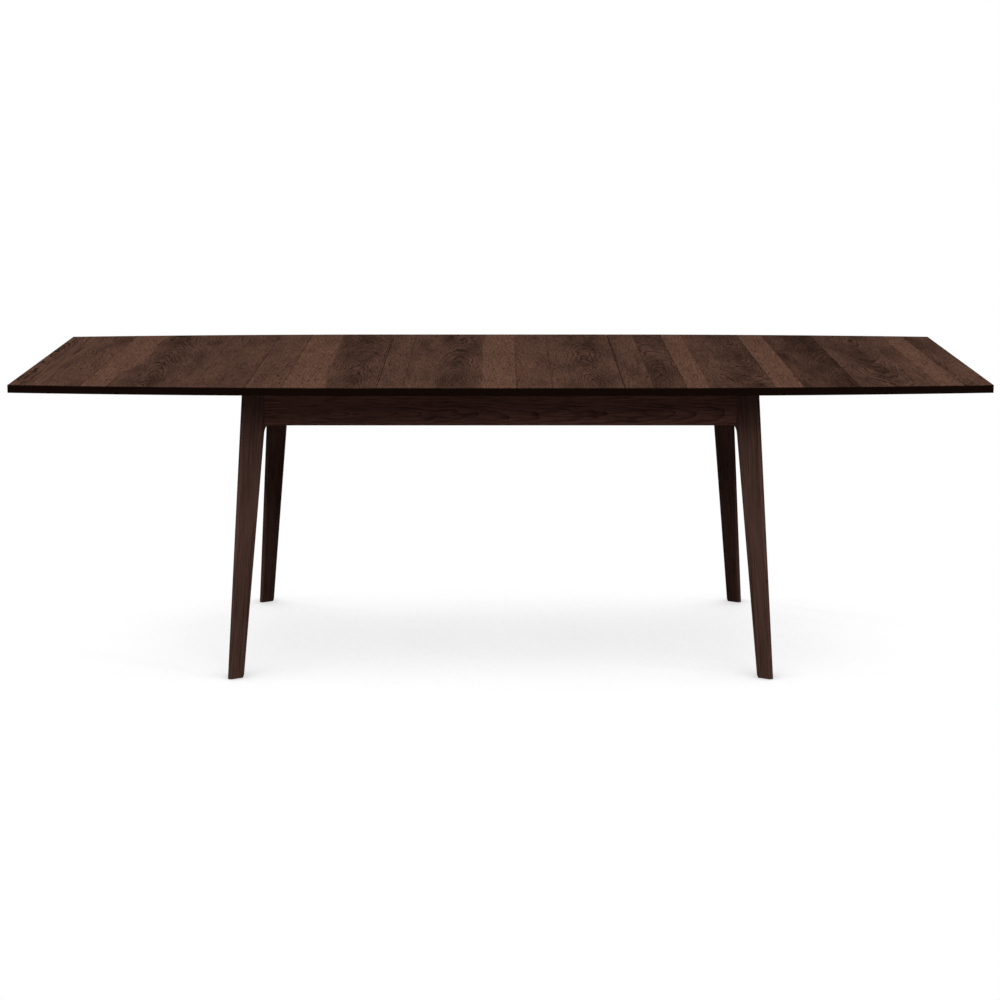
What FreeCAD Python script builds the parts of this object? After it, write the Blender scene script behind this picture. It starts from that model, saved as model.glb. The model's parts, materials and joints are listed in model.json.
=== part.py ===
"""Extending dining table with one loose leaf, shown extended.

Millimetres, +Z up. The origin is on the floor under the middle of the table, +X runs along its
length to the right and -Y is the front. Each half of the top rides on two grooved runners in the
fixed base, and racks and pinions between the runners move both halves together.
"""
import FreeCAD, Part
import math
import os
import re
import Sketcher

Vector = FreeCAD.Vector

# Driving dimensions: alias, value, meaning
DIMENSIONS = [
    ("table_height", 762, "floor to the top surface"),
    ("top_thickness", 20, "thickness of the top panels"),
    ("top_width", 1016, "width of the top at the leaf"),
    ("end_narrowing", 102, "ends of the top narrower than its middle"),
    ("half_length", 914, "length of each half of the top"),
    ("leaf_length", 610, "length that the leaf adds"),
    ("seam_gap", 0.4, "gap at each seam of the leaf"),
    ("edge_round", 1.2, "rounding of the arrises of the top"),
    ("open_travel", 30, "travel of each half beyond the leaf"),
    ("apron_length", 1190, "long apron between the legs"),
    ("apron_spacing", 722, "between the middles of the long aprons"),
    ("apron_height", 94, "height of the aprons"),
    ("apron_thickness", 25, "thickness of the long aprons"),
    ("apron_round", 2, "rounding of the lower arrises of the aprons"),
    ("end_apron_thickness", 22, "thickness of the end aprons"),
    ("end_apron_setback", 8, "end apron behind the inner face of the legs"),
    ("tenon_length", 25, "apron tenon in the leg"),
    ("tenon_thickness", 10, "thickness of the apron tenons"),
    ("tenon_height", 40, "height of the apron tenons"),
    ("tenon_drop", 10, "apron tenon below the top of the leg"),
    ("tenon_wall", 3, "wood left between two tenons in a leg"),
    ("leg_knee_depth", 57.6, "leg along X at the lower edge of the apron"),
    ("leg_foot_depth", 37.5, "leg along X at the foot"),
    ("leg_foot_reach", 62, "foot beyond the end of the apron"),
    ("leg_foot_spread", 44, "foot outside the middle of the apron"),
    ("leg_inner_width", 31, "inner face of the leg along Y"),
    ("leg_side_slope", 0.6, "widening of the leg towards its outer face"),
    ("leg_corner_radius", 9, "rounding of the outer leg corners"),
    ("leg_inner_radius", 3, "rounding of the inner leg corners"),
    ("ear_reach", 8, "ear of the leg along the apron"),
    ("ear_drop", 24, "height of the ear"),
    ("ear_radius", 40, "hollow of the ear"),
    ("ear_root", 8, "root of the ear inside the leg"),
    ("foot_glide_thickness", 2, "foot glide under the leg"),
    ("foot_glide_diameter", 22, "diameter of the foot glide"),
    ("rail_width", 60, "cross rail along X"),
    ("rail_height", 40, "height of the cross rails"),
    ("rail_spacing", 180, "outer cross rails from the middle one"),
    ("rail_tenon_length", 10, "cross rail tenon in the apron"),
    ("rail_tenon_width", 40, "cross rail tenon along X"),
    ("slide_spacing", 400, "between the two pinion axes"),
    ("runner_width", 26, "runner along Y"),
    ("runner_height", 40, "height of the runners"),
    ("runner_lift", 2, "runner above the cross rails"),
    ("runner_end_gap", 10, "runner to end apron at the end of travel"),
    ("runner_relief", 0.5, "runner below the leaf"),
    ("relief_lead", 3, "start of the relief before the seam"),
    ("slide_fit", 0.3, "sliding clearance of runner and guide"),
    ("tongue_depth", 7.5, "tongue of the guide rail in the runner"),
    ("tongue_height", 10, "height of the tongue"),
    ("guide_width", 22, "guide rail along Y"),
    ("strip_thickness", 2, "glide strip under the top"),
    ("strip_width", 12, "glide strip along Y"),
    ("gear_module", 2, "module of rack and pinion"),
    ("pinion_teeth", 18, "teeth of the pinion"),
    ("pinion_thickness", 10, "height of the pinion"),
    ("rack_height", 14, "height of the racks"),
    ("rack_back", 4, "solid back of the racks"),
    ("backlash", 0.3, "play between rack and pinion teeth"),
    ("post_diameter", 10, "shaft of the pinion post"),
    ("post_flange_diameter", 26, "flange under the pinion"),
    ("post_depth", 20, "pinion post in the cross rail"),
    ("bearing_gap", 0.05, "radial play of the pinion"),
    ("float_gap", 0.2, "axial play of the pinion"),
    ("clip_diameter", 20, "clip above the pinion"),
    ("clip_thickness", 1.5, "thickness of the clip"),
    ("stop_length", 30, "stop block along X"),
    ("stop_height", 18, "stop block below the runner"),
    ("cleat_spacing", 120, "between the middles of the leaf cleats"),
    ("cleat_width", 45, "leaf cleat along Y"),
    ("cleat_height", 25, "height of the leaf cleats"),
    ("cleat_inset", 35, "leaf cleat from the seam"),
    ("cleat_round", 4, "rounding of the cleat ends"),
    ("pin_diameter", 8, "locating pins of the leaf"),
    ("pin_length", 34, "length of a locating pin"),
    ("pin_protrusion", 9, "locating pin beyond the seam"),
    ("pin_outer", 400, "outer locating pins of the left half from the middle"),
    ("pin_inner", 140, "inner locating pins of the left half from the middle"),
    ("pin_stagger", 60, "locating pins of the right half nearer the middle"),
    ("pin_height", 7, "locating pin above the underside"),
    ("pin_fit", 0.3, "play of a pin in its notch"),
    ("screw_diameter", 5, "wood screws"),
    ("screw_head_diameter", 10, "heads of the wood screws"),
    ("screw_head_height", 3, "height of the screw heads"),
    ("screw_grip", 12, "screw depth in the top panels"),
    ("screw_fit", 0.05, "glue line round screws, pins and bolts"),
    ("guide_screw_grip", 22, "screw depth in the guide rails"),
    ("runner_screw_lead", 45, "runner screws from the seam and from the runner's end"),
    ("cleat_screw_pitch", 220, "between the cleat screws"),
    ("brace_side", 75, "corner brace along each apron"),
    ("brace_thickness", 22, "thickness of the corner braces"),
    ("brace_height", 45, "height of the corner braces"),
    ("brace_lift", 6, "corner brace above the lower edge of the apron"),
    ("bolt_diameter", 8, "hanger bolts"),
    ("bolt_length", 112, "length of the hanger bolts"),
    ("bolt_stub", 12, "hanger bolt inside the brace"),
    ("washer_diameter", 24, "washer under the nut"),
    ("washer_thickness", 2, "thickness of the washer"),
    ("nut_width", 13, "nut across the flats"),
    ("nut_thickness", 6.5, "thickness of the nut"),
]
ALIASES = {alias for alias, value, meaning in DIMENSIONS}

doc = FreeCAD.newDocument("extending_table")
sheet = doc.addObject("Spreadsheet::Sheet", "dims")
for row, (alias, value, meaning) in enumerate(DIMENSIONS, start=1):
    sheet.set(f"A{row}", meaning)
    sheet.set(f"B{row}", str(value))
    sheet.setAlias(f"B{row}", alias)
doc.recompute()

# Heights and places that several pieces share, as formulas of the dimensions
UNDERSIDE = "(table_height - top_thickness)"
BASE_TOP = f"({UNDERSIDE} - strip_thickness)"
KNEE = f"({BASE_TOP} - apron_height)"
RUNNER_BOTTOM = f"({UNDERSIDE} - runner_height)"
RAIL_TOP = f"({RUNNER_BOTTOM} - runner_lift)"
SLIDE_Z = f"({UNDERSIDE} - runner_height / 2)"
SEAM = "(leaf_length / 2)"
JOINT = "(apron_length / 2)"
APRON_Y = "(apron_spacing / 2)"
APRON_IN = f"({APRON_Y} - apron_thickness / 2)"
END_IN = f"({JOINT} + end_apron_setback)"
SLIDE_Y = "(slide_spacing / 2)"
PITCH_RADIUS = "(gear_module * pinion_teeth / 2)"
TOOTH_PITCH = "(gear_module * pi)"
RUNNER_IN = f"({SLIDE_Y} + {PITCH_RADIUS} + 1.25 * gear_module + rack_back)"
RUNNER_OUT = f"({RUNNER_IN} + runner_width)"
RUNNER_MID = f"({RUNNER_IN} + runner_width / 2)"
GUIDE_IN = f"({RUNNER_OUT} + slide_fit)"
GUIDE_MID = f"({GUIDE_IN} + guide_width / 2)"
OTHER_RUNNER_MID = f"(2 * {SLIDE_Y} - {RUNNER_MID})"
OTHER_GUIDE_MID = f"(2 * {SLIDE_Y} - {GUIDE_MID})"
RUNNER_FAR = f"({END_IN} - open_travel - runner_end_gap)"
RUNNER_NEAR = f"({END_IN} - {SEAM} - runner_end_gap)"
TENON_TOP = f"({BASE_TOP} - tenon_drop)"
TENON_BOTTOM = f"({TENON_TOP} - tenon_height)"
BOLT_Z = f"({KNEE} + brace_lift + brace_height / 2)"

X_AXIS = Vector(1, 0, 0)
Y_AXIS = Vector(0, 1, 0)
TO_CORNER = FreeCAD.Rotation(Vector(-1, 1, 0), 90)

# Distance under which two places count as the same
TOUCH = 0.001

nodes = []
probe = doc.addObject("Part::Vertex", "probe")


def formula(text):
    """Expression text with each dimension read from the sheet."""
    return re.sub(r"[a-z_]+", lambda word: ("dims." if word[0] in ALIASES else "") + word[0], text)


def bind(item, prop, text):
    item.setExpression(prop, formula(text))


def point_at(across, up="0"):
    """Where two formulas put a point at the present sizes."""
    bind(probe, "X", across)
    bind(probe, "Y", up)
    probe.recompute()
    return Vector(probe.X.Value, probe.Y.Value, 0)


def place(item, x, y, z):
    for axis, text in zip("xyz", (x, y, z)):
        bind(item, f"Placement.Base.{axis}", text)


def keep(item):
    """Hand the piece in as a node of its own, named by its label."""
    nodes.append(item)
    return item


def box(name, size, corner):
    item = doc.addObject("Part::Box", name)
    for prop, text in zip(("Length", "Width", "Height"), size):
        bind(item, prop, text)
    place(item, *corner)
    return item


def cylinder(name, diameter, height, base, rotation=FreeCAD.Rotation()):
    item = doc.addObject("Part::Cylinder", name)
    item.Placement = FreeCAD.Placement(Vector(), rotation)
    bind(item, "Radius", f"({diameter}) / 2")
    bind(item, "Height", height)
    place(item, *base)
    return item


def joined(name, pieces, kind="Part::MultiFuse"):
    item = doc.addObject(kind, name)
    if kind == "Part::Compound":
        item.Links = pieces
    else:
        item.Shapes = pieces
    return item


def cut(name, base, tool):
    item = doc.addObject("Part::Cut", name)
    item.Base = base
    item.Tool = tool
    return item


def mirrored(name, source, normal, through="0"):
    """Twin of a piece across the plane square to X or Y at the given place."""
    item = doc.addObject("Part::Mirroring", name)
    item.Source = source
    item.Normal = normal
    bind(item, "Base.x" if normal == X_AXIS else "Base.y", through)
    return item


def across_pinion(name, source):
    """Twin of a piece turned half round the rear pinion axis."""
    swapped = mirrored(f"{name}_swapped", source, X_AXIS)
    return mirrored(name, swapped, Y_AXIS, SLIDE_Y)


def four_fold(name, source):
    """The piece and its three twins at the other corners, as one group of solids."""
    left = mirrored(f"{name}_left", source, X_AXIS)
    front = [mirrored(f"{name}_front_{side.Name}", side, Y_AXIS) for side in (source, left)]
    return joined(name, [source, left] + front, "Part::Compound")


def new_body(name):
    return doc.addObject("PartDesign::Body", name)


def origin_feature(body, role):
    return next(item for item in body.Origin.OriginFeatures if item.Role == role)


def sketch_on(body, name, role, offset="0"):
    sketch = body.newObject("Sketcher::SketchObject", f"{body.Name}_{name}")
    sketch.AttachmentSupport = [(origin_feature(body, role), "")]
    sketch.MapMode = "FlatFace"
    bind(sketch, "AttachmentOffset.Base.z", offset)
    return sketch


def pin_point(sketch, element, position, across, up):
    """Fix a point of the sketch by its two distances from the origin."""
    at = point_at(across, up)
    for kind, start, text in (("DistanceX", at.x, across), ("DistanceY", at.y, up)):
        index = sketch.addConstraint(Sketcher.Constraint(kind, -1, 1, element, position, start))
        bind(sketch, f"Constraints[{index}]", text)


def set_radius(sketch, element, radius):
    index = sketch.addConstraint(Sketcher.Constraint("Radius", element, point_at(radius).x))
    bind(sketch, f"Constraints[{index}]", radius)


def arc_between(start, end, radius, side):
    """Short arc with its centre on the left of the way from start to end for side 1, on the right for -1."""
    chord = end - start
    rise = math.sqrt(radius ** 2 - (chord.Length / 2) ** 2)
    centre = (start + end) * 0.5 + Vector(-chord.y, chord.x, 0).normalize() * side * rise
    turns = [math.atan2(point.y - centre.y, point.x - centre.x) for point in (start, end)]
    return Part.ArcOfCircle(Part.Circle(centre, Vector(0, 0, 1), radius), *turns[::side])


def add_outline(sketch, corners, bends=()):
    """Closed outline through corners given as formulas; a bend (corner, radius, side) is an arc after it."""
    first = sketch.GeometryCount
    count = len(corners)
    points = [point_at(across, up) for across, up in corners]
    sides = {corner: side for corner, radius, side in bends}
    radii = {corner: point_at(radius).x for corner, radius, side in bends}
    for index, start in enumerate(points):
        end = points[(index + 1) % count]
        if index in sides:
            sketch.addGeometry(arc_between(start, end, radii[index], sides[index]), False)
        else:
            sketch.addGeometry(Part.LineSegment(start, end), False)
    begins = [2 if sides.get(index) == -1 else 1 for index in range(count)]
    for index, (across, up) in enumerate(corners):
        following = (index + 1) % count
        joint = (first + index, 3 - begins[index], first + following, begins[following])
        sketch.addConstraint(Sketcher.Constraint("Coincident", *joint))
        pin_point(sketch, first + index, begins[index], across, up)
    for corner, radius, side in bends:
        set_radius(sketch, first + corner, radius)


def add_rectangle(sketch, left, right, low, high):
    add_outline(sketch, [(left, low), (right, low), (right, high), (left, high)])


def add_circles(sketch, centres, diameter):
    for across, up in centres:
        circle = Part.Circle(point_at(across, up), Vector(0, 0, 1), point_at(diameter).x / 2)
        element = sketch.addGeometry(circle, False)
        pin_point(sketch, element, 3, across, up)
        set_radius(sketch, element, f"({diameter}) / 2")


def pad(body, sketch, length, symmetric=False):
    feature = body.newObject("PartDesign::Pad", f"{sketch.Name}_pad")
    feature.Profile = sketch
    feature.SideType = "Symmetric" if symmetric else "One side"
    bind(feature, "Length", length)
    doc.recompute()
    return feature


def pocket(body, sketch, depth, upwards=False, symmetric=False):
    """Cut along the normal of the sketch when upwards, else against it."""
    before = body.Shape.Volume
    feature = body.newObject("PartDesign::Pocket", f"{sketch.Name}_pocket")
    feature.Profile = sketch
    feature.SideType = "Symmetric" if symmetric else "One side"
    feature.Reversed = upwards
    bind(feature, "Length", depth)
    doc.recompute()
    if body.Shape.Volume >= before:
        raise RuntimeError(f"{feature.Name} removes nothing")
    return feature


def round_edges(body, feature, radius, wanted):
    """Round those edges of the feature whose middle the wanted test accepts."""
    edges = feature.Shape.Edges
    names = [f"Edge{index}" for index, edge in enumerate(edges, start=1) if wanted(edge)]
    fillet = body.newObject("PartDesign::Fillet", f"{feature.Name}_round")
    fillet.Base = (feature, names)
    bind(fillet, "Radius", radius)
    doc.recompute()
    return fillet


def is_level(edge):
    return edge.BoundBox.ZLength < TOUCH


def screw_group(name, centres, bottom, length):
    """Upright screws in one node, heads down."""
    body = new_body(name)
    heads = sketch_on(body, "heads", "XY_Plane", bottom)
    add_circles(heads, centres, "screw_head_diameter")
    pad(body, heads, "screw_head_height")
    shanks = sketch_on(body, "shanks", "XY_Plane", bottom)
    add_circles(shanks, centres, "screw_diameter")
    pad(body, shanks, length)
    return body


def screw_holes(body, centres, bottom, depth):
    """Holes for upright screws whose heads lie flush with the underside."""
    heads = sketch_on(body, "head_holes", "XY_Plane", bottom)
    add_circles(heads, centres, "screw_head_diameter + 2 * screw_fit")
    pocket(body, heads, "screw_head_height", upwards=True)
    add_shank_holes(body, centres, bottom, depth)


def add_shank_holes(body, centres, bottom, depth):
    shanks = sketch_on(body, "shank_holes", "XY_Plane", bottom)
    add_circles(shanks, centres, "screw_diameter + 2 * screw_fit")
    pocket(body, shanks, depth, upwards=True)


RUNNER_SCREW_X = [f"({SEAM} + runner_screw_lead)", f"({RUNNER_FAR} - runner_screw_lead)"]
CLEAT_SCREWS = [
    (f"{step} * cleat_screw_pitch", f"{side} * cleat_spacing / 2") for step in (-1, 1) for side in (-1, 1)
]
LEFT_PIN_Y = ["-pin_outer", "-pin_inner", "pin_inner", "pin_outer"]
RIGHT_PIN_Y = [f"({y} {sign} pin_stagger)" for y, sign in zip(LEFT_PIN_Y, "++--")]
RAIL_X = {"left_rail": "-rail_spacing", "middle_rail": "0", "right_rail": "rail_spacing"}
SCREWED_X = (RAIL_X["left_rail"], RAIL_X["right_rail"])
GUIDE_Y = [f"{side} * {place_y}" for side in (-1, 1) for place_y in (GUIDE_MID, OTHER_GUIDE_MID)]


# Top
EDGE_DROP = "(end_narrowing / 2)"
EDGE_RADIUS = f"((half_length ^ 2 + {EDGE_DROP} ^ 2) / (2 * {EDGE_DROP}))"


def add_pin_holes(body, name, pin_y, diameter, depth):
    sketch = sketch_on(body, name, "YZ_Plane", SEAM)
    add_circles(sketch, [(y, f"{UNDERSIDE} + pin_height") for y in pin_y], diameter)
    pocket(body, sketch, depth, upwards=True)


def top_half(name, runner_y, own_pins, other_pins):
    """Half of the top on the right: straight seam and end, long edges tangent to the leaf."""
    body = new_body(name)
    sketch = sketch_on(body, "plan", "XY_Plane", UNDERSIDE)
    outer = f"{SEAM} + half_length"
    wide = "top_width / 2"
    narrow = f"({wide} - {EDGE_DROP})"
    corners = [(SEAM, f"-{wide}"), (outer, f"-{narrow}"), (outer, narrow), (SEAM, wide)]
    add_outline(sketch, corners, [(0, EDGE_RADIUS, 1), (2, EDGE_RADIUS, 1)])
    panel = pad(body, sketch, "top_thickness")
    round_edges(body, panel, "edge_round", is_level)
    holes = [(x, f"{side} * {runner_y}") for x in RUNNER_SCREW_X for side in (-1, 1)]
    add_shank_holes(body, holes, UNDERSIDE, "screw_grip")
    depth = "pin_length - pin_protrusion"
    add_pin_holes(body, "pin_sockets", own_pins, "pin_diameter + 2 * screw_fit", depth)
    add_pin_holes(body, "pin_holes", other_pins, "pin_diameter + 2 * pin_fit", "pin_protrusion + pin_fit")
    return body


keep(top_half("right_top", OTHER_RUNNER_MID, RIGHT_PIN_Y, LEFT_PIN_Y))
keep(mirrored("left_top", top_half("left_top_blank", RUNNER_MID, LEFT_PIN_Y, RIGHT_PIN_Y), X_AXIS))


# Locating pins of the leaf, staggered so that those of the two halves pass when the table closes
def leaf_pins(name, pin_y):
    body = new_body(name)
    sketch = sketch_on(body, "ends", "YZ_Plane", f"{SEAM} - pin_protrusion")
    add_circles(sketch, [(y, f"{UNDERSIDE} + pin_height") for y in pin_y], "pin_diameter")
    pad(body, sketch, "pin_length")
    return body


keep(leaf_pins("right_leaf_pins", RIGHT_PIN_Y))
keep(mirrored("left_leaf_pins", leaf_pins("left_pins_blank", LEFT_PIN_Y), X_AXIS))


# Loose leaf with open notches that drop over the locating pins
def loose_leaf():
    body = new_body("leaf")
    sketch = sketch_on(body, "plan", "XY_Plane", UNDERSIDE)
    end = f"({SEAM} - seam_gap)"
    add_rectangle(sketch, f"-{end}", end, "-top_width / 2", "top_width / 2")
    panel = pad(body, sketch, "top_thickness")
    round_edges(body, panel, "edge_round", is_level)
    notches = sketch_on(body, "notches", "XY_Plane", UNDERSIDE)
    half_notch = "(pin_diameter / 2 + pin_fit)"
    bottom = f"({SEAM} - pin_protrusion - pin_fit)"
    for side, pin_y in (("", RIGHT_PIN_Y), ("-", LEFT_PIN_Y)):
        for y in pin_y:
            low, high = f"{y} - {half_notch}", f"{y} + {half_notch}"
            add_rectangle(notches, f"{side}{bottom}", f"{side}{SEAM}", low, high)
    pocket(body, notches, "pin_height + pin_diameter / 2 + pin_fit", upwards=True)
    add_shank_holes(body, CLEAT_SCREWS, UNDERSIDE, "screw_grip")
    return body


keep(loose_leaf())
CLEAT_BOTTOM = f"({UNDERSIDE} - cleat_height)"


def leaf_cleat():
    """Cleat across the planks under the leaf, with rounded lower ends."""
    body = new_body("rear_cleat")
    sketch = sketch_on(body, "plan", "XY_Plane", CLEAT_BOTTOM)
    end = f"({SEAM} - cleat_inset)"
    low, high = "(cleat_spacing - cleat_width) / 2", "(cleat_spacing + cleat_width) / 2"
    add_rectangle(sketch, f"-{end}", end, low, high)
    bar = pad(body, sketch, "cleat_height")
    bottom = body.Shape.BoundBox.ZMin
    round_edges(body, bar, "cleat_round", lambda edge: edge.BoundBox.ZMax < bottom + TOUCH)
    rear_screws = [hole for hole in CLEAT_SCREWS if hole[1].startswith("1")]
    screw_holes(body, rear_screws, CLEAT_BOTTOM, "cleat_height")
    return body


rear_cleat = keep(leaf_cleat())
keep(mirrored("front_cleat", rear_cleat, Y_AXIS))
keep(screw_group("cleat_screws", CLEAT_SCREWS, CLEAT_BOTTOM, "cleat_height + screw_grip"))

# Legs
LEG_RISE = f"(({BASE_TOP} - foot_glide_thickness) / ({KNEE} - foot_glide_thickness))"
FOOT_IN = f"({JOINT} + leg_foot_reach)"
FOOT_OUT = f"({FOOT_IN} + leg_foot_depth)"
FOOT_Y = f"({APRON_Y} + leg_foot_spread)"
LEG_TOP_IN = f"({FOOT_IN} - leg_foot_reach * {LEG_RISE})"
LEG_TOP_OUT = f"({FOOT_OUT} - ({FOOT_OUT} - {JOINT} - leg_knee_depth) * {LEG_RISE})"
LEG_TOP_Y = f"({FOOT_Y} - leg_foot_spread * {LEG_RISE})"


def leg_section(body, name, height, inner, outer, middle):
    """Section of a leg: narrow inner face, sides that widen to the outer face, round corners."""
    sketch = sketch_on(body, name, "XY_Plane", height)
    flare = "sqrt(1 + leg_side_slope ^ 2)"
    wide = f"(leg_inner_width / 2 + leg_side_slope * ({outer} - {inner}))"
    narrow_flat = f"(leg_inner_width / 2 - leg_inner_radius * ({flare} - leg_side_slope))"
    wide_flat = f"({wide} - leg_corner_radius * ({flare} + leg_side_slope))"
    lean = f"leg_side_slope / {flare}"
    half = [
        (inner, narrow_flat),
        (f"{inner} + leg_inner_radius * (1 - {lean})", f"{narrow_flat} + leg_inner_radius / {flare}"),
        (f"{outer} - leg_corner_radius * (1 + {lean})", f"{wide_flat} + leg_corner_radius / {flare}"),
        (outer, wide_flat),
    ]
    corners = [(x, f"{middle} - ({y})") for x, y in half]
    corners += [(x, f"{middle} + {y}") for x, y in reversed(half)]
    radii = ("leg_inner_radius", "leg_corner_radius", "leg_corner_radius", "leg_inner_radius")
    add_outline(sketch, corners, [(2 * index, radius, 1) for index, radius in enumerate(radii)])
    return sketch


def add_ear(body):
    """Hollow ear that carries the line of the leg into the lower edge of the apron."""
    sketch = sketch_on(body, "ear", "XZ_Plane", f"-{APRON_Y}")
    root = f"{JOINT} + ear_drop * leg_foot_reach / ({KNEE} - foot_glide_thickness)"
    corners = [(f"{JOINT} - ear_reach", KNEE), (root, f"{KNEE} - ear_drop"), (f"{JOINT} + ear_root", KNEE)]
    add_outline(sketch, corners, [(0, "ear_radius", -1)])
    pad(body, sketch, "apron_thickness", symmetric=True)


def leg_blank():
    """Rear right leg, splayed both ways, before its joints are cut."""
    body = new_body("leg_blank")
    foot = leg_section(body, "foot", "foot_glide_thickness", FOOT_IN, FOOT_OUT, FOOT_Y)
    head = leg_section(body, "head", BASE_TOP, LEG_TOP_IN, LEG_TOP_OUT, LEG_TOP_Y)
    loft = body.newObject("PartDesign::AdditiveLoft", "leg_loft")
    loft.Profile = head
    loft.Sections = [foot]
    loft.Ruled = True
    doc.recompute()
    add_ear(body)
    return body


END_TENON_Y = f"({APRON_Y} - tenon_thickness / 2 - tenon_wall)"
END_MID = f"({END_IN} + end_apron_thickness / 2)"
BRACE_X = f"({END_IN} - brace_side / 2)"
BRACE_Y = f"({APRON_IN} - brace_side / 2)"


def bolt_along(name, diameter, start, length):
    """Round bar on the line from the brace into the leg, start measured from the brace's outer face."""
    base = (f"{BRACE_X} + ({start}) / sqrt(2)", f"{BRACE_Y} + ({start}) / sqrt(2)", BOLT_Z)
    return cylinder(name, diameter, length, base, TO_CORNER)


BOLT_START = "-brace_thickness - bolt_stub"
long_tenons = box(
    "long_tenons",
    (f"2 * ({JOINT} + tenon_length)", "tenon_thickness", "tenon_height"),
    (f"-{JOINT} - tenon_length", f"{APRON_Y} - tenon_thickness / 2", TENON_BOTTOM),
)
end_tenons = box(
    "end_tenons",
    ("tenon_thickness", f"2 * {END_TENON_Y}", "tenon_height"),
    (f"{END_MID} - tenon_thickness / 2", f"-{END_TENON_Y}", TENON_BOTTOM),
)
leg_shoulder = box(
    "leg_shoulder",
    (f"{JOINT} - {LEG_TOP_IN} + leg_inner_width", "2 * leg_inner_width", "apron_height"),
    (f"{LEG_TOP_IN} - leg_inner_width", f"{APRON_Y} - leg_inner_width", KNEE),
)
leg_bolt_hole = bolt_along("leg_bolt_hole", "bolt_diameter + 2 * screw_fit", BOLT_START, "bolt_length")
blank = leg_blank()
leg_cuts = joined("leg_cuts", [leg_shoulder, long_tenons, end_tenons, leg_bolt_hole])
rear_right_leg = keep(cut("rear_right_leg", blank, leg_cuts))
rear_left_leg = keep(mirrored("rear_left_leg", rear_right_leg, X_AXIS))
keep(mirrored("front_right_leg", rear_right_leg, Y_AXIS))
keep(mirrored("front_left_leg", rear_left_leg, Y_AXIS))

FOOT_MID = f"({FOOT_IN} + leg_foot_depth / 2)"
rear_right_foot = keep(
    cylinder("rear_right_foot_glide", "foot_glide_diameter", "foot_glide_thickness", (FOOT_MID, FOOT_Y, "0"))
)
rear_left_foot = keep(mirrored("rear_left_foot_glide", rear_right_foot, X_AXIS))
keep(mirrored("front_right_foot_glide", rear_right_foot, Y_AXIS))
keep(mirrored("front_left_foot_glide", rear_left_foot, Y_AXIS))


# Aprons
def long_apron():
    body = new_body("rear_apron")
    sketch = sketch_on(body, "section", "YZ_Plane")
    add_rectangle(sketch, APRON_IN, f"{APRON_Y} + apron_thickness / 2", KNEE, BASE_TOP)
    board = pad(body, sketch, "apron_length", symmetric=True)
    bottom = body.Shape.BoundBox.ZMin
    round_edges(body, board, "apron_round",
                lambda edge: edge.BoundBox.ZMax < bottom + TOUCH and edge.BoundBox.XLength > TOUCH)
    tenons = sketch_on(body, "tenons", "YZ_Plane")
    half_tenon = "tenon_thickness / 2"
    add_rectangle(tenons, f"{APRON_Y} - {half_tenon}", f"{APRON_Y} + {half_tenon}", TENON_BOTTOM, TENON_TOP)
    pad(body, tenons, f"2 * ({JOINT} + tenon_length)", symmetric=True)
    mortises = sketch_on(body, "rail_mortises", "XZ_Plane", f"-{APRON_IN}")
    for middle in RAIL_X.values():
        sides = (f"{middle} - rail_tenon_width / 2", f"{middle} + rail_tenon_width / 2")
        add_rectangle(mortises, *sides, f"{RAIL_TOP} - rail_height", RAIL_TOP)
    pocket(body, mortises, "rail_tenon_length")
    return body


rear_apron = keep(long_apron())
keep(mirrored("front_apron", rear_apron, Y_AXIS))


def end_apron():
    """End apron whose shoulders follow the splayed faces of the legs."""
    body = new_body("right_end_board")
    sketch = sketch_on(body, "section", "XZ_Plane")
    add_rectangle(sketch, END_IN, f"{END_IN} + end_apron_thickness", KNEE, BASE_TOP)
    board = pad(body, sketch, f"2 * {APRON_Y}", symmetric=True)
    bottom = body.Shape.BoundBox.ZMin
    round_edges(body, board, "apron_round",
                lambda edge: edge.BoundBox.ZMax < bottom + TOUCH and edge.BoundBox.YLength > TOUCH)
    legs = joined("end_legs", [blank, mirrored("front_leg_blank", blank, Y_AXIS)], "Part::Compound")
    return joined("right_end_apron", [cut("right_end_shouldered", body, legs), end_tenons])


right_end_apron = keep(end_apron())
keep(mirrored("left_end_apron", right_end_apron, X_AXIS))


# Corner braces with hanger bolts
def corner_brace():
    body = new_body("brace_board")
    sketch = sketch_on(body, "plan", "XY_Plane", f"{KNEE} + brace_lift")
    far = "(brace_side + brace_thickness * sqrt(2))"
    corners = [(f"{END_IN} - brace_side", APRON_IN), (f"{END_IN} - {far}", APRON_IN)]
    corners += [(END_IN, f"{APRON_IN} - {far}"), (END_IN, f"{APRON_IN} - brace_side")]
    add_outline(sketch, corners)
    pad(body, sketch, "brace_height")
    hole = bolt_along("brace_bolt_hole", "bolt_diameter + 2 * screw_fit", BOLT_START, "bolt_length")
    return cut("rear_right_brace", body, hole)


rear_right_brace = keep(corner_brace())
rear_left_brace = keep(mirrored("rear_left_brace", rear_right_brace, X_AXIS))
keep(mirrored("front_right_brace", rear_right_brace, Y_AXIS))
keep(mirrored("front_left_brace", rear_left_brace, Y_AXIS))
bolt = bolt_along("hanger_bolt", "bolt_diameter", BOLT_START, "bolt_length")
keep(four_fold("hanger_bolts", bolt))
washer_bore = bolt_along("washer_bore", "bolt_diameter + 2 * screw_fit", BOLT_START, "bolt_length")
WASHER_START = "(-brace_thickness - washer_thickness)"
washer_disc = bolt_along("washer_disc", "washer_diameter", WASHER_START, "washer_thickness")
keep(four_fold("corner_washers", cut("corner_washer", washer_disc, washer_bore)))
nut_prism = doc.addObject("Part::Prism", "nut_prism")
nut_prism.Polygon = 6
nut_prism.Placement = FreeCAD.Placement(Vector(), TO_CORNER)
bind(nut_prism, "Circumradius", "nut_width / sqrt(3)")
bind(nut_prism, "Height", "nut_thickness")
NUT_START = f"({WASHER_START} - nut_thickness)"
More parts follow.
